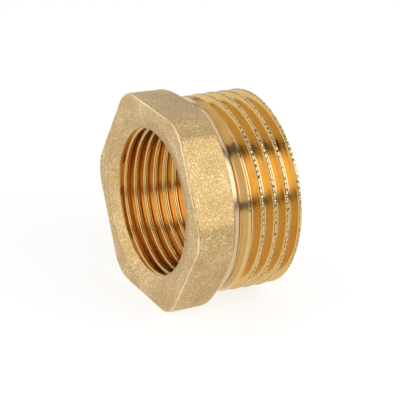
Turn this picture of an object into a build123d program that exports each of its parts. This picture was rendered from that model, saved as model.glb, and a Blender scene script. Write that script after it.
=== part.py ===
"""Hex bushing, G1 male by G3/4 female, forged and machined from one piece of brass. Millimetres.

The thread axis lies along X. The bushing lies on one flat of its hexagon, with that flat at
Z = 0, and the origin is on the ground below the middle of the length. The hexagon's face is at
the -X end and the male thread runs out to the +X end. The male thread has its true section at
its true pitch, turned as rings. The female thread is its bore at the crests. The lead of both
along the helix, and the female thread's fine grooves, are left to the surface model.
"""

import os
from math import radians, tan

from build123d import *

os.makedirs("parts", exist_ok=True)

# Overall
length = 19.7
across_flats = 33.3

# Forged hexagon. Axial positions are measured from its face.
hex_length = 7.2
hex_corner_radius = 5.4
face_edge_radius = 0.45
back_slope_length = 2.3
back_slope_rise = 2.6
dish_radius = 14.55
dish_depth = 0.9

# Machined collar behind the hexagon
collar_radius = 16.6
collar_end = 8.2

# ISO 228 pipe threads: 55 degree form, 0.64 of the pitch deep at full height
flank_angle = radians(27.5)
depth_per_pitch = 0.640327
male_radius = 33.249 / 2
male_pitch = 2.309
male_crest_flat = 0.56
male_last_crest_to_end = 0.5
female_length = 13.6

# Bore: the mouth inside the dish, the female thread's crests, and the waterway past them
mouth_radius = 12.6
crest_bore_radius = 12.2
waterway_radius = 11.6
end_bore_chamfer = 0.8

face_centre = Vector(-length / 2, 0, across_flats / 2)
bore_axis = Axis(face_centre, (1, 0, 0))
# Sections across the axis, and sections that hold the axis with x along it and y as the radius
face_plane = Plane(origin=face_centre, x_dir=(0, 0, 1), z_dir=(1, 0, 0))
axial_plane = Plane(origin=face_centre, x_dir=(1, 0, 0), z_dir=(0, -1, 0))

male_depth = depth_per_pitch * male_pitch
male_root_radius = male_radius - male_depth
male_flank = male_depth * tan(flank_angle)
male_half_width = male_crest_flat / 2 + male_flank
male_last_crest = length - male_last_crest_to_end
male_crests = 1 + int((male_last_crest - male_half_width - collar_end) / male_pitch)
thread_mouth = dish_depth + mouth_radius - crest_bore_radius
thread_shoulder = thread_mouth + female_length


def shank_outline():
    """Returns the outside of the shank from the collar to its end, as (axial, radius) points."""
    points = [(collar_end, male_root_radius)]
    for k in range(male_crests):
        crest = male_last_crest - (male_crests - 1 - k) * male_pitch
        points += [
            (crest - male_half_width, male_root_radius),
            (crest - male_crest_flat / 2, male_radius),
            (crest + male_crest_flat / 2, male_radius),
            (crest + male_half_width, male_root_radius),
        ]
    # The last crest's far flank is cut off by the end of the shank
    (x_top, r_top), (x_root, r_root) = points[-2:]
    share = (length - x_top) / (x_root - x_top)
    points[-1] = (length, r_top + share * (r_root - r_top))
    return points


with BuildPart() as head:
    # The forging: a hexagon with rounded corners and a small radius round its face
    with BuildSketch(face_plane):
        RegularPolygon(across_flats / 2, 6, major_radius=False, rotation=30)
        fillet(vertices(), hex_corner_radius)
    extrude(amount=hex_length)
    fillet(faces().sort_by(Axis.X)[0].edges(), face_edge_radius)
    # The corners fall away behind to the round collar
    with BuildSketch(axial_plane):
        with BuildLine():
            Polyline(
                (0, 0),
                (0, across_flats),
                (hex_length - back_slope_length, collar_radius + back_slope_rise),
                (hex_length, collar_radius),
                (hex_length, 0),
                close=True,
            )
        make_face()
    revolve(axis=bore_axis, mode=Mode.INTERSECT)

with BuildPart() as hex_bushing:
    # The collar, the neck and the male thread, turned in one outline
    with BuildSketch(axial_plane):
        with BuildLine():
            Polyline(
                (hex_length / 2, 0),
                (hex_length / 2, collar_radius),
                (collar_end, collar_radius),
                *shank_outline(),
                (length, 0),
                close=True,
            )
        make_face()
    revolve(axis=bore_axis)
    add(head.part)
    # The bore: waterway, female thread, mouth and forged dish
    with BuildSketch(axial_plane):
        with BuildLine():
            Polyline(
                (length, 0),
                (length, waterway_radius + end_bore_chamfer),
                (length - end_bore_chamfer, waterway_radius),
                (thread_shoulder + crest_bore_radius - waterway_radius, waterway_radius),
                (thread_shoulder, crest_bore_radius),
                (thread_mouth, crest_bore_radius),
                (dish_depth, mouth_radius),
                (0, dish_radius),
                (0, 0),
                close=True,
            )
        make_face()
    revolve(axis=bore_axis, mode=Mode.SUBTRACT)

hex_bushing.part.label = "hex_bushing"
export_step(hex_bushing.part, "parts/hex_bushing.step")
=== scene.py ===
# %% [markdown]
# # A brass hex bushing, from the forged blank to the cut thread
# A hex bushing joins a wide pipe socket to a narrower pipe. It is one piece of brass: a hexagon is
# forged hot, the bar behind it and the bore are turned on a lathe, and two pipe threads are cut.
# We make it in the same order. The first cell opens the measured frame that everything here has to
# fit.

# %% The frame to fit
import random
from math import atan2, cos, hypot, pi, radians, sin, sqrt, tan
import bmesh
import bpy
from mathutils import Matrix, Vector


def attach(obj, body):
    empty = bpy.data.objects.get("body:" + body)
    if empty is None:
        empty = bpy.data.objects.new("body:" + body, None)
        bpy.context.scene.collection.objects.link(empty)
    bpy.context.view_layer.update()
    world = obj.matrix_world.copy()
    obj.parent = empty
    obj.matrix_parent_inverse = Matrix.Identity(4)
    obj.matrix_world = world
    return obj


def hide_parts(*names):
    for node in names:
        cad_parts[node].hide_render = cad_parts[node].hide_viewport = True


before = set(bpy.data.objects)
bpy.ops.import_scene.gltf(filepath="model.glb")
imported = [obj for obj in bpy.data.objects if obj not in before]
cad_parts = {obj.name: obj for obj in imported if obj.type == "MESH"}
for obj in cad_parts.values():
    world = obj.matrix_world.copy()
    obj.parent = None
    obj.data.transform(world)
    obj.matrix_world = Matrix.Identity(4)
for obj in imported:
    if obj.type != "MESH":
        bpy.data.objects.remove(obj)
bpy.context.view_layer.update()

# %% [markdown]
# The axis of the threads lies along X. Turned parts are easiest to describe by two numbers, how
# far along the axis a point is and how far out from it, so we say every size that way, in
# millimetres from the face of the hexagon, and one function turns them into a place in metres.
# The angle is counted from straight up, towards the side that faces -Y. A second function goes
# the other way, and tells us those three numbers for any point of a mesh.

# %% Sizes along the axis and out from it
MM = 0.001
LENGTH = 19.7
AXIS_HEIGHT = 16.65


def place(along, out, angle=0.0):
    return (
        (along - LENGTH / 2) * MM,
        -out * sin(angle) * MM,
        (AXIS_HEIGHT + out * cos(angle)) * MM,
    )


def measure(point):
    """How far along, how far out and at which angle a point is."""
    side, up = -point[1] / MM, point[2] / MM - AXIS_HEIGHT
    return point[0] / MM + LENGTH / 2, hypot(side, up), atan2(side, up)


print("middle of the end face, m:", place(LENGTH, 0))

# %% [markdown]
# Operators act on whatever is selected, and the frame comes in selected. So each piece starts
# with nothing selected, and in edit mode we pick vertices, edges or faces by where they are.
# By hand we would click them. A test on their place does the same every time the lesson runs.

# %% Selecting by place
def start_piece():
    if bpy.context.object and bpy.context.object.mode != "OBJECT":
        bpy.ops.object.mode_set(mode="OBJECT")
    bpy.ops.object.select_all(action="DESELECT")


def pick(kind, test):
    """In edit mode, selects only the VERT, EDGE or FACE elements that pass the test."""
    bpy.ops.mesh.select_mode(type=kind)
    bpy.ops.mesh.select_all(action="DESELECT")
    shape = bmesh.from_edit_mesh(bpy.context.object.data)
    found = 0
    for part in {"VERT": shape.verts, "EDGE": shape.edges, "FACE": shape.faces}[kind]:
        if test(part):
            part.select_set(True)
            found += 1
    shape.select_flush_mode()
    bmesh.update_edit_mesh(bpy.context.object.data)
    return found


def ends_along(edge):
    return [measure(v.co)[0] for v in edge.verts]


def ends_out(edge):
    return [measure(v.co)[1] for v in edge.verts]


start_piece()
print("selected at the start:", len(bpy.context.selected_objects))

# %% [markdown]
# ## The hexagon
# A forging has soft corners. We could round a solid prism, but the middle has to be open for
# the bore, so the outline starts as a short six-sided tube, two of its sides level, and a Bevel
# operator rounds its six long edges to a 5.4 mm radius. A bevel is measured along the sides it
# eats into: for a radius R and sides that turn by 60 degrees that is R tan 30. The flats are
# then divided, because the same points go round the turned parts as well.

# %% A six-sided tube with round corners
ACROSS_FLATS = 33.3
CORNER_RADIUS = 5.4
FIRST_ROW = 0.6
start_piece()
bpy.ops.mesh.primitive_cylinder_add(
    vertices=6,
    radius=ACROSS_FLATS / 2 / cos(radians(30)) * MM,
    depth=FIRST_ROW * MM,
    end_fill_type="NOTHING",
    location=place(FIRST_ROW / 2, 0),
    rotation=(0, pi / 2, 0),
)
bushing = bpy.context.object
bushing.name = "hex_bushing_brass"
bpy.ops.object.transform_apply(location=True, rotation=True, scale=True)
bpy.ops.object.mode_set(mode="EDIT")
corners = pick("EDGE", lambda e: max(ends_along(e)) - min(ends_along(e)) > FIRST_ROW / 2)
bpy.ops.mesh.bevel(offset=CORNER_RADIUS * tan(radians(30)) * MM, segments=12)
pick("EDGE", lambda e: e.calc_length() > CORNER_RADIUS * MM)
bpy.ops.mesh.subdivide(number_cuts=23)
outline = bmesh.from_edit_mesh(bushing.data)
print("corners rounded:", corners)
print("points in the hexagon's outline:", len(outline.verts) // 2)

# %% [markdown]
# Forging dies need draft, a slight taper, or the hot blank sticks. And behind the hexagon the
# die is round, so each corner rolls over to a circle. A boolean with a round body would cut
# that, with a hard crossing. Metal leaves a die with a soft one, so we extrude the tube row by
# row, closer together where the surface turns, then press every row inside the die's round
# with a smooth minimum, which is a minimum whose crossing is rounded off.

# %% Rows down the hexagon, pressed into the round of the die
HEX_LENGTH = 7.2
BACK_ROWS = [1.6, 3.0, 3.9, 4.5, 5.0, 5.4, 5.8, 6.1, 6.4, 6.6, 6.8, 6.95, 7.08, 7.16, HEX_LENGTH]
DRAFT = 0.012
ROUND_RADIUS, ROUND_START, ROUND_RISE = 16.62, 4.7, 2.1
PRESS_FROM = 3.5
back = FIRST_ROW
for row in BACK_ROWS:
    pick("EDGE", lambda e: min(ends_along(e)) > back - 0.05)
    bpy.ops.mesh.extrude_edges_move(
        TRANSFORM_OT_translate={"value": ((row - back) * MM, 0, 0)}
    )
    back = row


def die_radius(along):
    run = max(0.0, (along - ROUND_START) / (HEX_LENGTH - ROUND_START))
    return ROUND_RADIUS + ROUND_RISE * sqrt(max(0.0, 1 - run * run))


def soft_min(a, b, reach=0.35):
    mix = max(reach - abs(a - b), 0.0) / reach
    return min(a, b) - mix * mix * reach / 4


for vert in outline.verts:
    along, out, angle = measure(vert.co)
    out -= DRAFT * max(0.0, along - FIRST_ROW)
    if along > PRESS_FROM:
        out = soft_min(out, die_radius(along))
    vert.co = place(along, out, angle)
bmesh.update_edit_mesh(bushing.data)
print("rows down the hexagon:", len(BACK_ROWS) + 2)

# %% [markdown]
# ## The turned parts
# Behind the hexagon everything is turned: a collar, a narrow groove, the shank, the end, the
# bore and its mouth. A lathe follows a section, so we do too. Spin would make it as well, but
# its points would not meet those of the hexagon. So the edge loop at the hexagon's back is
# extruded, scaled about the axis to its new radius and moved along, once for each step, down
# the outside, in at the end, and back through the bore to the forged dish in the face.

# %% The turned section
COLLAR = [(7.2, 16.42), (7.24, 16.5), (7.3, 16.55), (8.0, 16.55), (8.13, 16.5), (8.19, 16.35)]
GROOVE = [(8.22, 15.95), (8.26, 15.75), (8.32, 15.7), (8.52, 15.7), (8.62, 15.88), (8.72, 15.96)]
SHANK = [(8.98, 15.98), (9.06, 15.13), (19.62, 15.13), (19.7, 14.98)]
END = [(19.7, 12.44), (19.66, 12.36), (18.95, 11.64)]
BORE = [(18.88, 11.6), (15.15, 11.6), (15.0, 11.75), (14.8, 13.22), (1.9, 13.22)]
MOUTH = [(1.1, 12.3), (0.88, 12.22)]
DISH = [(0.8, 12.28), (0.72, 12.45), (0.08, 14.6), (0.0, 14.78)]
NEAR = 0.01


def chosen_points():
    """The selected vertices in order round the axis, from just before straight up."""
    shape = bmesh.from_edit_mesh(bpy.context.object.data)
    points = [v for v in shape.verts if v.select]
    return sorted(points, key=lambda v: (measure(v.co)[2] + 0.01) % (2 * pi))


def turn_section(steps):
    """Extrudes the selected loop through the (along, out) steps."""
    here = steps[0]
    bpy.ops.mesh.extrude_edges_move()
    for point in chosen_points():
        point.co = place(*here, measure(point.co)[2])
    for along, out in steps[1:]:
        grow = out / here[1]
        bpy.ops.mesh.extrude_edges_move()
        bpy.ops.transform.resize(value=(1, grow, grow), center_override=place(here[0], 0))
        bpy.ops.transform.translate(value=((along - here[0]) * MM, 0, 0))
        here = (along, out)


pick("EDGE", lambda e: min(ends_along(e)) > HEX_LENGTH - NEAR)
turn_section(COLLAR + GROOVE + SHANK + END + BORE + MOUTH + DISH)
print("points in the dish's rim:", len(chosen_points()))

# %% [markdown]
# The last loop, round the dish, has to meet the front of the hexagon. Bridge would join the
# two loops, but it chooses the pairs by itself. So the loop is extruded once more, each of its
# points is put on the front point at the same angle, and Merge by Distance closes the seam. A
# small bevel then breaks the front edge, as tumbling does on the real one.

# %% Closing the face, and its worn edge
FRONT_RADIUS = 0.32
DISH_LIMIT, FACE_LIMIT = 15, 15.5
pick("VERT", lambda v: abs(measure(v.co)[0]) < NEAR and measure(v.co)[1] > FACE_LIMIT)
front_places = [v.co.copy() for v in chosen_points()]
pick("EDGE", lambda e: e.is_boundary and max(ends_out(e)) < DISH_LIMIT)
bpy.ops.mesh.extrude_edges_move()
for point, spot in zip(chosen_points(), front_places):
    point.co = spot
bpy.ops.mesh.select_all(action="SELECT")
bpy.ops.mesh.remove_doubles(threshold=0.003 * MM)
pick("EDGE", lambda e: max(ends_along(e)) < NEAR and min(ends_out(e)) > FACE_LIMIT)
bpy.ops.mesh.bevel(offset=FRONT_RADIUS * MM, segments=4)
bpy.ops.mesh.select_all(action="SELECT")
bpy.ops.mesh.normals_make_consistent(inside=False)
joined = bmesh.from_edit_mesh(bushing.data)
print("open edges:", sum(1 for e in joined.edges if not e.is_manifold))
bpy.ops.object.mode_set(mode="OBJECT")

# %% [markdown]
# ## The threads
# A thread is one tooth section carried round the axis and along it at the same time. The
# Screw modifier does just that. We draw the section of one ridge a vertex at a time, close it,
# let the modifier wind it, and apply the modifier. The foot of a ridge is sunk a little into
# the metal below, so no gap can show. Rings side by side would be less work, but a real thread
# climbs, and its edges never come back to where they began.

# %% Winding a ridge
def draw_ridge(name, outline_points, angle, pitch, turns, steps):
    """Winds a closed section of (along, out) points, starting at an angle about the axis."""
    start_piece()
    bpy.ops.mesh.primitive_plane_add(size=MM, location=(0, 0, 0))
    ridge = bpy.context.object
    ridge.name = name
    bpy.ops.object.mode_set(mode="EDIT")
    bpy.ops.mesh.select_mode(type="VERT")
    bpy.ops.mesh.merge(type="CENTER")
    spots = [
        ((a - LENGTH / 2) * MM, -r * sin(angle) * MM, r * cos(angle) * MM)
        for a, r in outline_points
    ]
    bpy.ops.transform.translate(value=spots[0])
    for before, after in zip(spots, spots[1:]):
        step = tuple(b - a for a, b in zip(before, after))
        bpy.ops.mesh.extrude_vertices_move(TRANSFORM_OT_translate={"value": step})
    pick("VERT", lambda v: len(v.link_edges) == 1)
    bpy.ops.mesh.edge_face_add()
    bpy.ops.object.mode_set(mode="OBJECT")
    screw = ridge.modifiers.new("wind", "SCREW")
    screw.axis, screw.angle = "X", 2 * pi
    screw.screw_offset, screw.iterations = pitch * MM, turns
    screw.steps = screw.render_steps = steps
    bpy.ops.object.modifier_apply(modifier="wind")
    bpy.ops.transform.translate(value=(0, 0, AXIS_HEIGHT * MM))
    bpy.ops.object.transform_apply(location=True, rotation=True, scale=True)
    print(name, "wound with", len(ridge.data.vertices), "vertices")
    return ridge


# %% [markdown]
# A wound ridge runs past the part at both ends and is open there. We fill its two open ends,
# and Bisect cuts it square at both and fills each cut, so it stays a closed shape.

# %% Trimming a ridge
def trim_ridge(ridge, low, high):
    """Closes a ridge's two ends, cuts it square at both, and turns its faces outwards."""
    bpy.ops.object.mode_set(mode="EDIT")
    bpy.ops.mesh.select_all(action="SELECT")
    bpy.ops.mesh.fill_holes(sides=0)
    for along, outer in ((low, False), (high, True)):
        bpy.ops.mesh.select_all(action="SELECT")
        bpy.ops.mesh.bisect(
            plane_co=place(along, 0), plane_no=(1, 0, 0), threshold=0.0001 * MM,
            use_fill=True, clear_outer=outer, clear_inner=not outer,
        )
    bpy.ops.mesh.select_all(action="SELECT")
    bpy.ops.mesh.normals_make_consistent(inside=False)
    loose = sum(1 for e in bmesh.from_edit_mesh(ridge.data).edges if not e.is_manifold)
    bpy.ops.object.mode_set(mode="OBJECT")
    print(ridge.name, "open edges after the trim:", loose)


# %% [markdown]
# The male thread climbs 2.309 mm a turn, 11 turns to an inch. Its section could be two straight
# flanks, but pipe threads have rounded crests and roots, and bright metal shows that at once:
# a straight flank reflects one flat tone, and a rounded one shades softly. So the section is a
# wave, cut level at the crest. The ridge has 424 steps to a turn, four for each of the 106
# notches that come next.

# %% The male thread
MALE_PITCH, MALE_CREST, MALE_ROOT = 2.309, 16.62, 15.14
NOTCHES, STEPS_IN_NOTCH = 106, 4
FIRST_CREST, FIRST_ANGLE = 10.14, radians(66)
START_ANGLE = radians(-210)
WAVE_MIDDLE, WAVE_HALF = 0.75, 0.77
WAVE_OFFSETS = (0.12, 0.19, 0.28, 0.4, 0.55, 0.7, 0.85, 1.0)
FOOT_HALF_WIDTH, FOOT_SINK = 1.13, 0.15
start_along = FIRST_CREST + MALE_PITCH * (START_ANGLE - FIRST_ANGLE) / (2 * pi)
right_side = []
for offset in WAVE_OFFSETS:
    wave = MALE_ROOT + WAVE_MIDDLE + WAVE_HALF * cos(2 * pi * offset / MALE_PITCH)
    right_side.append((offset, min(MALE_CREST, wave)))
right_side.append((FOOT_HALF_WIDTH, MALE_ROOT - FOOT_SINK))
male_section = [(-a, r) for a, r in reversed(right_side)] + right_side
male_ridge = draw_ridge(
    "male_ridge",
    [(start_along + a, r) for a, r in male_section],
    START_ANGLE, MALE_PITCH, 6, NOTCHES * STEPS_IN_NOTCH,
)

# %% [markdown]
# The first turn is the run-out of the tool: a plain cone, with a slight burr, that rises to the
# first crest. The turns after it are full. After threading, a wheel with fine teeth was rolled
# over the crests, to give hemp or tape a grip. Hundreds of small cutters would make the same
# notches slowly, so we move the points of the wound ridge, each by where it stands on its turn.
# No tooth bites the same everywhere, so each notch has its own depth, from a seeded list.

# %% The run-out of the first turn, and the notches of the wheel
# The stages of the thread, in turns from straight up at the first crest
RISE_FROM, RISE_BY = -0.55, -0.2
PLAIN_UNTIL, CUT_FROM = 0.45, 0.7
FULL_FROM, FULL_BY = 0.5, 0.95
# The share of the height that the run-out reaches, and what the first full turn adds
FIRST_HEIGHT, LAST_HEIGHT = 0.94, 0.06
# The plain cone: where it starts, its radius there, and the height of its burr
CONE_START, CONE_RADIUS, BURR = 8.95, 16.0, 0.03
FOOT_GAP, CREST_PINCH, EDGE_INSET = 0.05, 0.4, 0.08
# The wheel: how near the crest it bites, one notch step by step, and how hard it presses
CREST_SHARE = 0.06
NOTCH_SHAPE = [1.0, 0.35, 0.0, 0.35]
PLAIN_NOTCH, FULL_NOTCH = 0.25, 0.75
SHALLOWEST, DEEPEST = 0.05, 0.13
SHANK_FROM = 8.1
random.seed(11)
notch_depth = [random.uniform(SHALLOWEST, DEEPEST) for _ in range(NOTCHES * 8)]


def turn_of(along, angle):
    """The whole angle, in turns from straight up at the first crest, of a point on the ridge."""
    rough = (along - FIRST_CREST) / MALE_PITCH + FIRST_ANGLE / (2 * pi)
    return round(rough - angle / (2 * pi)) + angle / (2 * pi)


def ease(value, low, high):
    x = min(1.0, max(0.0, (value - low) / (high - low)))
    return x * x * (3 - 2 * x)


def blend(a, b, share):
    return a + (b - a) * share


def notch_at(turn):
    step = (turn + 1) * NOTCHES
    return notch_depth[int(step)] * NOTCH_SHAPE[round(step * STEPS_IN_NOTCH) % STEPS_IN_NOTCH]


def cut_point(along, out, angle):
    """Where the run-out and the wheel leave a point of the ridge."""
    turn = turn_of(along, angle)
    full = ease(turn, FULL_FROM, FULL_BY)
    plain = 1 - ease(turn, PLAIN_UNTIL, CUT_FROM)
    centre = FIRST_CREST + MALE_PITCH * (turn - FIRST_ANGLE / (2 * pi))
    left = along < centre
    if out < MALE_ROOT:
        if left:
            along = blend(along, min(along, CONE_START - FOOT_GAP), plain)
        return along, out, angle
    depth = (MALE_CREST - out) / (MALE_CREST - MALE_ROOT)
    height = FIRST_HEIGHT * ease(turn, RISE_FROM, RISE_BY) + LAST_HEIGHT * full
    crest = MALE_ROOT + (MALE_CREST - MALE_ROOT) * height
    out = MALE_ROOT + (out - MALE_ROOT) * height
    along = centre + (along - centre) * (1 - CREST_PINCH * (1 - full) * (1 - depth))
    if left:
        burr = BURR * (1 + sin(turn * 41) * sin(turn * 97))  # two waves that never line up
        edge = centre - EDGE_INSET
        along = blend(along, blend(edge, min(edge, CONE_START), depth), plain)
        out = blend(out, blend(crest, min(crest, CONE_RADIUS + burr), depth), plain)
    if depth < CREST_SHARE:
        out -= notch_at(turn) * (PLAIN_NOTCH + FULL_NOTCH * full)
    return along, out, angle


for vert in male_ridge.data.vertices:
    vert.co = place(*cut_point(*measure(vert.co)))
trim_ridge(male_ridge, SHANK_FROM, LENGTH - NEAR)

# %% [markdown]
# The female thread is cut into the bore by a tap, 14 turns to an inch, with no wheel after it.
# So its ridge is a plain wave that points inwards, with nothing to cut after it is wound. The
# cone of the mouth cuts its first turn away, which we do by pushing its points out to the cone.

# %% The female thread
FEMALE_PITCH, FEMALE_CREST, FEMALE_ROOT = 1.814, 12.2, 13.22
SECOND_CREST = 2.2
INNER_HALF, INNER_STEP = 0.54, 0.1
INNER_FOOT, INNER_SINK = 0.9, 0.1
CONE_MOUTH, CONE_RIM, CONE_SLOPE = 1.1, 12.35, 0.5
INNER_FROM, INNER_TO = 1.05, 14.9
mouth_crest = SECOND_CREST - FEMALE_PITCH
female_section = [(mouth_crest - INNER_FOOT, FEMALE_ROOT + INNER_SINK)]
for step in range(-8, 9):
    wave = FEMALE_ROOT - INNER_HALF - INNER_HALF * cos(2 * pi * INNER_STEP * step / FEMALE_PITCH)
    female_section.append((mouth_crest + INNER_STEP * step, max(FEMALE_CREST, wave)))
female_section.append((mouth_crest + INNER_FOOT, FEMALE_ROOT + INNER_SINK))
female_ridge = draw_ridge(
    "female_ridge", female_section, radians(270), FEMALE_PITCH, 9, 180,
)
for vert in female_ridge.data.vertices:
    along, out, angle = measure(vert.co)
    cone = CONE_RIM - max(0.0, along - CONE_MOUTH) * CONE_SLOPE
    vert.co = place(along, max(out, cone), angle)
trim_ridge(female_ridge, INNER_FROM, INNER_TO)

# %% [markdown]
# ## One piece again
# The real bushing is one piece, so the ridges join the body. A boolean union would weave all
# the points together and gain nothing to look at, because every foot is already inside the
# metal. Then the shading: smooth by angle keeps the sharp machined corners sharp, and a
# Weighted Normal modifier lets the large flats decide the shading at the edges of the small
# roundings beside them.

# %% Joining and shading
start_piece()
for part in (male_ridge, female_ridge, bushing):
    part.select_set(True)
bpy.context.view_layer.objects.active = bushing
bpy.ops.object.join()
bpy.ops.object.shade_smooth_by_angle(angle=radians(38))
weighted = bushing.modifiers.new("flats lead", "WEIGHTED_NORMAL")
weighted.keep_sharp = True
bpy.ops.object.modifier_apply(modifier="flats lead")
bushing.data.calc_loop_triangles()
print("triangles in the bushing:", len(bushing.data.loop_triangles))

# %% [markdown]
# Handling wears the front edge of a forging bright, and its small rounding catches the light as a
# thin bright line. So the edge is painted pale: partly wear, partly a painted highlight. The
# Pointiness output could find it, but only while Cycles renders. So which points are painted is
# kept in the mesh as an attribute: 1 on the front half of the small rounding round the face, 0
# everywhere else.

# %% Marking the worn and highlighted edge
worn_and_lit_edge = bushing.data.attributes.new("worn_and_lit_edge", "FLOAT", "POINT")
for index, vert in enumerate(bushing.data.vertices):
    along, out, _ = measure(vert.co)
    on_edge = 0.02 < along < 0.5 * FRONT_RADIUS and out > FACE_LIMIT
    worn_and_lit_edge.data[index].value = 1.0 if on_edge else 0.0
print("worn points:", sum(1 for d in worn_and_lit_edge.data if d.value > 0))

# %% [markdown]
# ## Two finishes of one metal
# Real brass is a metal all through, so Metallic is 1 and the colour is the colour of its
# reflection. Both finishes are built from the same few nodes: noise, a colour ramp, arithmetic
# and a mix. Short functions make and link them, so that each finish reads as a recipe.

# %% Making and linking nodes
def node(tree, kind, **settings):
    made = tree.nodes.new(kind)
    for name, value in settings.items():
        setattr(made, name, value)
    return made


def math_node(tree, operation, a, b=None, clamp=False):
    made = node(tree, "ShaderNodeMath", operation=operation, use_clamp=clamp)
    for socket, value in zip(made.inputs, (a, b)):
        if value is None:
            continue
        if isinstance(value, (int, float)):
            socket.default_value = value
        else:
            tree.links.new(value, socket)
    return made.outputs[0]


def noise(tree, coords, scale, detail=2.0, roughness=0.5):
    made = node(tree, "ShaderNodeTexNoise")
    made.inputs["Scale"].default_value = scale
    made.inputs["Detail"].default_value = detail
    made.inputs["Roughness"].default_value = roughness
    tree.links.new(coords, made.inputs["Vector"])
    return made.outputs["Fac"]


def ramp(tree, value, stops):
    made = node(tree, "ShaderNodeValToRGB")
    made.color_ramp.elements[0].position, made.color_ramp.elements[0].color = stops[0]
    made.color_ramp.elements[1].position, made.color_ramp.elements[1].color = stops[-1]
    for position, colour in stops[1:-1]:
        made.color_ramp.elements.new(position).color = colour
    tree.links.new(value, made.inputs["Fac"])
    return made.outputs["Color"]


def colour_mix(tree, factor, first, second):
    """Mixes two colours, each of them a socket or a fixed colour."""
    made = node(tree, "ShaderNodeMix", data_type="RGBA")
    tree.links.new(factor, made.inputs["Factor"])
    for socket, colour in ((made.inputs[6], first), (made.inputs[7], second)):
        if isinstance(colour, tuple):
            socket.default_value = colour
        else:
            tree.links.new(colour, socket)
    return made.outputs[2]


def bump(tree, shader, height, strength, distance):
    made = node(tree, "ShaderNodeBump")
    made.inputs["Strength"].default_value = strength
    made.inputs["Distance"].default_value = distance
    tree.links.new(height, made.inputs["Height"])
    tree.links.new(made.outputs["Normal"], shader.inputs["Normal"])


def brass_material(name):
    made = bpy.data.materials.new(name)
    made.use_nodes = True
    shader = made.node_tree.nodes["Principled BSDF"]
    shader.inputs["Metallic"].default_value = 1.0
    return made, made.node_tree, shader


BLACK, WHITE = (0, 0, 0, 1), (1, 1, 1, 1)
print("helpers for nodes are ready")

# %% [markdown]
# ### The blasted skin of the forging
# After forging, the blank is blasted with fine shot. That leaves a dull, even grain of tiny dents,
# with a few dark pits. The dents are too small to model, so noise makes them: a coarse and a fine
# grain, and a broad cloud that keeps them from looking printed. The same noise that colours the
# grain also tilts the surface, so each pale speck is a real high spot, and its pale colour is also
# a painted glint, the light that such a speck catches. Along the front edge the skin is painted
# bright, partly as rubbed metal and partly as a painted highlight.

# %% Forged brass
forged, tree, shader = brass_material("forged brass, blasted")
coords = node(tree, "ShaderNodeTexCoord").outputs["Object"]
grain = noise(tree, coords, scale=4200, detail=3, roughness=0.7)
cloud = noise(tree, coords, scale=260, detail=3)
speckle = noise(tree, coords, scale=6500, detail=1)
pits = noise(tree, coords, scale=900, detail=2)
grain_share = math_node(tree, "MULTIPLY", grain, 0.6)
speckle_share = math_node(tree, "MULTIPLY", speckle, 0.25)
cloud_share = math_node(tree, "MULTIPLY", cloud, 0.15)
tone = math_node(tree, "ADD", math_node(tree, "ADD", grain_share, speckle_share), cloud_share)
# The tones of the blasted grain. The palest stop is also a painted glint, the light that the grain
# catches.
grain_and_glints = ramp(tree, tone, [
    (0.36, (0.37, 0.225, 0.08, 1)),
    (0.46, (0.52, 0.35, 0.142, 1)),
    (0.54, (0.61, 0.425, 0.19, 1)),
    (0.61, (0.95, 0.78, 0.52, 1)),
])
pit_mask = ramp(tree, pits, [(0.205, BLACK), (0.25, WHITE)])
pitted = colour_mix(tree, pit_mask, (0.16, 0.10, 0.04, 1), grain_and_glints)
# The front edge is painted bright in patches: partly rubbed metal, partly a painted highlight.
wear_and_gleam = node(tree, "ShaderNodeAttribute", attribute_name="worn_and_lit_edge").outputs["Fac"]
patchy = math_node(tree, "MULTIPLY", math_node(tree, "SUBTRACT", cloud, 0.3), 2.4)
wear_and_gleam = math_node(tree, "MULTIPLY", wear_and_gleam, patchy, clamp=True)
rubbed_and_gleaming = colour_mix(tree, wear_and_gleam, pitted, (0.95, 0.78, 0.49, 1))
tree.links.new(rubbed_and_gleaming, shader.inputs["Base Color"])
shader.inputs["Roughness"].default_value = 0.39
bump(tree, shader, tone, strength=0.9, distance=0.0001)
print(forged.name, "with", len(tree.nodes), "nodes")

# %% [markdown]
# ### The turned and threaded surfaces
# A cutting tool leaves bright brass with very fine rings round the axis. The rings have to
# follow the axis wherever the surface faces, so the pattern is worked out in the same two
# numbers that the sizes are in: along the axis and out from it. A little of the angle is added
# so no ring is quite the same all the way round.

# %% Turned brass: a pattern that goes round the axis
RING_DRIFT = 0.00012
turned_brass, tree, shader = brass_material("turned brass, bright")
coords = node(tree, "ShaderNodeTexCoord").outputs["Object"]
parts = node(tree, "ShaderNodeSeparateXYZ")
tree.links.new(coords, parts.inputs["Vector"])
along, side = parts.outputs["X"], parts.outputs["Y"]
up = math_node(tree, "SUBTRACT", parts.outputs["Z"], AXIS_HEIGHT * MM)
side_square = math_node(tree, "MULTIPLY", side, side)
up_square = math_node(tree, "MULTIPLY", up, up)
out = math_node(tree, "SQRT", math_node(tree, "ADD", side_square, up_square))
angle = math_node(tree, "ARCTAN2", side, up)
rings = node(tree, "ShaderNodeCombineXYZ")
tree.links.new(along, rings.inputs["X"])
tree.links.new(out, rings.inputs["Y"])
tree.links.new(math_node(tree, "MULTIPLY", angle, RING_DRIFT), rings.inputs["Z"])
fine = noise(tree, rings.outputs["Vector"], scale=9000, detail=3, roughness=0.7)
broad = noise(tree, rings.outputs["Vector"], scale=2600, detail=3)
stain = noise(tree, coords, scale=420, detail=4, roughness=0.6)
broad_share = math_node(tree, "MULTIPLY", broad, 0.5)
tarnish = math_node(tree, "ADD", broad_share, math_node(tree, "MULTIPLY", stain, 0.5))
print("nodes of the ring pattern:", len(tree.nodes))

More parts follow.
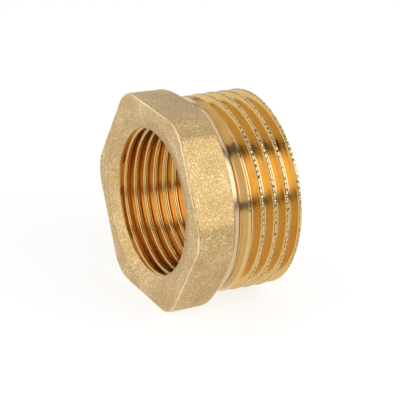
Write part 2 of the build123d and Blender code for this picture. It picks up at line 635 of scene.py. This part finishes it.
# %% [markdown]
# The same brass is given three tones. It is golden where the cut is fresh and pale on the collar.
# On the crests and the roots the pale tone is a painted highlight, the thin bright lines that
# these narrow rounded surfaces throw back. A deep orange is painted shade and reflection, the
# colour of light that has bounced between brass surfaces, in the grooves of the bore and on the
# rough cone behind the collar. The notches get painted shade, a dark brown in patches. Each tone
# is a ramp over the tarnish, so that none of them is a flat colour.

# %% Turned brass: its tones
def brass_tones(tree, value, low, middle, high):
    return ramp(tree, value, [(0.3, (*low, 1)), (0.5, (*middle, 1)), (0.7, (*high, 1))])


# Deep orange: painted shade and reflection for the grooves of the bore and the cone behind the
# collar.
groove_shade_orange = brass_tones(tree, tarnish, (0.63, 0.36, 0.11), (0.71, 0.43, 0.15), (0.78, 0.50, 0.20))
# Pale: the collar's own finish, and a painted highlight on the crests and roots.
pale_and_highlight = brass_tones(
    tree, tarnish, (0.57, 0.425, 0.245), (0.64, 0.49, 0.295), (0.71, 0.56, 0.36))
golden = brass_tones(tree, tarnish, (0.65, 0.41, 0.13), (0.71, 0.47, 0.17), (0.76, 0.53, 0.225))
# Dark brown: painted shade for the notches and the cone.
PAINTED_SHADE_BROWN = (0.13, 0.07, 0.02, 1)
print("nodes with the tones:", len(tree.nodes))

# %% [markdown]
# Where each tone goes is a question of place again. A comparison node gives 1 where its answer
# is yes and 0 where it is no, so a mask is a few comparisons of how far along and how far out.
# Vertex colours would do too, but a mask keeps a sharp edge between two points of the mesh.

# %% Turned brass: which tone goes where
BORE_SIDE = 14.2
COLLAR_BACK, CONE_BACK, NOTCHED_FROM, END_FROM = 8.19, 9.9, 10.9, 19.6
ROOT_REACH, CREST_REACH = 0.03, 0.05
# The band of painted shade in the notches: its depth below the crest and its half width.
NOTCH_SHADE_BELOW_CREST, NOTCH_SHADE_HALF_WIDTH = 0.1, 0.035
GROOVE_EDGE, GROOVE_SLOPE = 0.03, 9.0


def along_limit(size):
    """A size from the hexagon's face, in metres from the origin."""
    return (size - LENGTH / 2) * MM


out_mm = math_node(tree, "DIVIDE", out, MM)
outside = math_node(tree, "GREATER_THAN", out_mm, BORE_SIDE)
on_collar = math_node(tree, "LESS_THAN", along, along_limit(COLLAR_BACK))
# The collar, the roots and the crests take the pale tone. On the roots and crests it is a painted
# highlight.
in_root = math_node(tree, "LESS_THAN", out_mm, MALE_ROOT + ROOT_REACH)
on_crest = math_node(tree, "GREATER_THAN", out_mm, MALE_CREST - CREST_REACH)
pale_or_highlit = math_node(tree, "MAXIMUM", on_collar, in_root)
pale_or_highlit = math_node(tree, "MAXIMUM", pale_or_highlit, on_crest)
# A thin band just under the crest, in the notches, gets painted shade in patches.
from_notch_shade = math_node(tree, "SUBTRACT", out_mm, MALE_CREST - NOTCH_SHADE_BELOW_CREST)
from_notch_shade = math_node(tree, "ABSOLUTE", from_notch_shade)
in_notch = math_node(tree, "LESS_THAN", from_notch_shade, NOTCH_SHADE_HALF_WIDTH)
notched = math_node(tree, "GREATER_THAN", along, along_limit(NOTCHED_FROM))
patches = noise(tree, coords, scale=1900, detail=2)
notch_shade_patch = ramp(tree, patches, [(0.35, BLACK), (0.6, WHITE)])
notch_shade_here = math_node(tree, "MULTIPLY", math_node(tree, "MULTIPLY", in_notch, notched), notch_shade_patch)
# Deeper in the bore's grooves the colour turns to the deep orange of painted shade and reflection.
bore_depth = math_node(tree, "SUBTRACT", out_mm, FEMALE_CREST + GROOVE_EDGE)
bore_groove_shade = math_node(tree, "MULTIPLY", bore_depth, GROOVE_SLOPE, clamp=True)
# The cone behind the collar gets the deep orange painted shade, with darker patches of painted
# shade.
near_collar = math_node(tree, "LESS_THAN", along, along_limit(CONE_BACK))
not_pale_or_highlit = math_node(tree, "SUBTRACT", 1.0, pale_or_highlit)
on_cone = math_node(tree, "MULTIPLY", near_collar, not_pale_or_highlit)
cone_shade_patches = math_node(tree, "MULTIPLY", on_cone, math_node(tree, "MULTIPLY", broad, 0.5))
at_end = math_node(tree, "GREATER_THAN", along, along_limit(END_FROM))
print("nodes with the masks:", len(tree.nodes))

# %% [markdown]
# The tones are laid over each other like coats: the shank first, with its pale painted highlights,
# then the painted shade in its notches, then the painted shade on the cone behind the collar, then
# the bore beside it, whose grooves get painted shade. Broad rings also change how glossy the metal
# is, and the finest ones only tilt it, which draws the highlights out along the cut.

# %% Turned brass: the finished metal
shank = colour_mix(tree, pale_or_highlit, golden, pale_and_highlight)
shank = colour_mix(tree, notch_shade_here, shank, PAINTED_SHADE_BROWN)
shank = colour_mix(tree, on_cone, shank, groove_shade_orange)
shank = colour_mix(tree, cone_shade_patches, shank, PAINTED_SHADE_BROWN)
inner = colour_mix(tree, bore_groove_shade, golden, groove_shade_orange)
base = colour_mix(tree, outside, inner, shank)
tree.links.new(colour_mix(tree, at_end, base, golden), shader.inputs["Base Color"])
gloss = ramp(tree, broad, [(0.3, (0.13, 0.13, 0.13, 1)), (0.7, (0.24, 0.24, 0.24, 1))])
tree.links.new(gloss, shader.inputs["Roughness"])
bump(tree, shader, fine, strength=0.35, distance=0.00002)
print(turned_brass.name, "with", len(tree.nodes), "nodes")

# %% [markdown]
# Which finish a face gets depends on where it is: blasted outside the hexagon, on its face and
# in the dish, and bright everywhere the tools went. The faces end exactly where the finish
# changes, so two material slots do it, with a clean line that no mask would need to draw.

# %% Each finish in its place
DISH_FLOOR, HEX_BACK_RADIUS = 0.9, 16.45
bushing.data.materials.append(forged)
bushing.data.materials.append(turned_brass)
counts = [0, 0]
for face in bushing.data.polygons:
    middle, outward, _ = measure(face.center)
    on_hexagon = middle < HEX_LENGTH + 0.001 and outward > HEX_BACK_RADIUS
    face.material_index = 0 if middle < DISH_FLOOR or on_hexagon else 1
    counts[face.material_index] += 1
print("faces forged and turned:", counts)
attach(bushing, "root")
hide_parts("hex_bushing")

# %% [markdown]
# ## The studio
# Bright metal shows what stands round it, so its light is planned as a room: a pale floor, soft
# panels, and darker gaps between them that draw the dark bands across a turned surface. The
# floor takes the bushing's soft shadow, and a Light Path node makes it glow to the camera and
# in reflections only, because a floor lit until it is white would burn out the brass as well.

# %% The floor
def empty_tree(owner):
    """Turns an owner's nodes on and clears them."""
    owner.use_nodes = True
    for old in list(owner.node_tree.nodes):
        owner.node_tree.nodes.remove(old)
    return owner.node_tree


def seen_directly(tree):
    """1 for rays from the camera, off gloss or through glass, and 0 for the rays that light."""
    path = node(tree, "ShaderNodeLightPath")
    seen = math_node(tree, "MAXIMUM", path.outputs["Is Camera Ray"], path.outputs["Is Glossy Ray"])
    return math_node(tree, "MAXIMUM", seen, path.outputs["Is Transmission Ray"])


start_piece()
bpy.ops.mesh.primitive_plane_add(size=6, location=(0, 0, 0))
floor = bpy.context.object
floor.name = "studio_floor"
paper = bpy.data.materials.new("white paper")
tree = empty_tree(paper)
surface = node(tree, "ShaderNodeOutputMaterial")
diffuse = node(tree, "ShaderNodeBsdfDiffuse")
diffuse.inputs["Color"].default_value = (0.52, 0.52, 0.52, 1)
glow = node(tree, "ShaderNodeEmission")
tree.links.new(math_node(tree, "MULTIPLY", seen_directly(tree), 0.75), glow.inputs["Strength"])
both = node(tree, "ShaderNodeAddShader")
tree.links.new(diffuse.outputs[0], both.inputs[0])
tree.links.new(glow.outputs[0], both.inputs[1])
tree.links.new(both.outputs[0], surface.inputs["Surface"])
floor.data.materials.append(paper)
print("floor, m:", tuple(floor.dimensions))

# %% [markdown]
# The rest of the room is the world. Walls would have to be lit evenly, and the world needs no
# lamp at all. It is white to the camera and in reflections, and a dim grey for the light that
# falls on the bushing, so the soft panels can still give it a light and a dark side.

# %% The room
world = bpy.data.worlds.new("studio room")
bpy.context.scene.world = world
tree = empty_tree(world)
room = node(tree, "ShaderNodeOutputWorld")
dim = node(tree, "ShaderNodeBackground")
dim.inputs["Strength"].default_value = 0.5
white = node(tree, "ShaderNodeBackground")
white.inputs["Color"].default_value = WHITE
choose = node(tree, "ShaderNodeMixShader")
tree.links.new(seen_directly(tree), choose.inputs["Fac"])
tree.links.new(dim.outputs[0], choose.inputs[1])
tree.links.new(white.outputs[0], choose.inputs[2])
tree.links.new(choose.outputs[0], room.inputs["Surface"])
print("nodes in the room:", len(tree.nodes))

# %% [markdown]
# A white room alone makes bright metal look like paper. A studio stands dark card just out of
# sight, and its reflection draws the bands that show a surface is round and polished. Three
# long grey cards do it here: one low on the camera's side, one high over the bushing, and a
# paler one behind it. They show in reflections only, so they throw no shadow on the floor.

# %% The grey cards
CARD_DISTANCE = 0.7
CARD_THICKNESS = 0.003


def card_paint(name, shade):
    paint = bpy.data.materials.new(name + " paint")
    paint.use_nodes = True
    shader = paint.node_tree.nodes["Principled BSDF"]
    shader.inputs["Base Color"].default_value = (shade, shade, shade, 1)
    shader.inputs["Roughness"].default_value = 0.9
    return paint


def grey_card(name, low_degrees, high_degrees, left, right, shade):
    """A card parallel to X that fills a range of angles above the ground, seen from the part."""
    start_piece()
    middle_angle = radians((low_degrees + high_degrees) / 2)
    width = 2 * CARD_DISTANCE * tan(radians((high_degrees - low_degrees) / 2))
    bpy.ops.mesh.primitive_cube_add(
        size=1,
        location=(
            (left + right) / 2,
            -CARD_DISTANCE * cos(middle_angle),
            AXIS_HEIGHT * MM + CARD_DISTANCE * sin(middle_angle),
        ),
        rotation=(-middle_angle, 0, 0),
    )
    card = bpy.context.object
    card.name = name
    card.scale = (right - left, CARD_THICKNESS, width)
    bpy.ops.object.transform_apply(location=True, rotation=True, scale=True)
    card.data.materials.append(card_paint(name, shade))
    card.visible_camera = False
    card.visible_shadow = False
    card.visible_diffuse = False
    print(name, "m:", [round(size, 3) for size in card.dimensions])


grey_card("low_card", -1.3, 9, -2.0, 2.0, 0.3)
grey_card("high_card", 60, 76, -0.9, 1.2, 0.3)
grey_card("back_card", 144, 158, -0.1, 1.2, 0.9)

# %% [markdown]
# Two soft panels light the bushing. The key stands high on the camera's side and lights the
# flats that face it, and a weaker fill opens the shade on the hexagon's face. Area lamps are
# the soft boxes of a studio: the larger they are, the softer the edge of the light.

# %% The lamps
def soft_panel(name, spot, target, width, height, power):
    start_piece()
    bpy.ops.object.light_add(type="AREA", location=spot)
    lamp = bpy.context.object
    lamp.name = name
    lamp.data.shape, lamp.data.size, lamp.data.size_y = "RECTANGLE", width, height
    lamp.data.energy = power
    aim = Vector(target) - Vector(spot)
    lamp.rotation_euler = aim.to_track_quat("-Z", "Y").to_euler()
    print(name, "at", spot, "with", power, "W")


middle = place(LENGTH / 2, 0)
soft_panel("key_panel", (0.20, -0.40, 0.30), middle, 0.50, 0.40, 0.62)
soft_panel("fill_panel", (-0.50, 0.16, 0.10), middle, 0.34, 0.20, 0.40)

# %% [markdown]
# ## The camera
# The camera stands about 30 cm away, a little to the hexagon's side and above. Its lens is long,
# because a short one so close would swell the near corner of the hexagon. It is rolled by a
# little over two degrees, so the bushing leans a little in the frame.

# %% The camera
bpy.ops.object.camera_add(
    location=(-0.135147, -0.244617, 0.131611),
    rotation=(radians(67.4316), radians(-2.3937), radians(-27.947)),
)
camera = bpy.context.object
camera.name = "camera"
camera.data.lens, camera.data.sensor_width = 163.487, 36
camera.data.clip_start = 0.01
bpy.context.scene.camera = camera
bpy.context.scene.view_settings.view_transform = "Standard"
print("lens, mm:", round(camera.data.lens, 1))
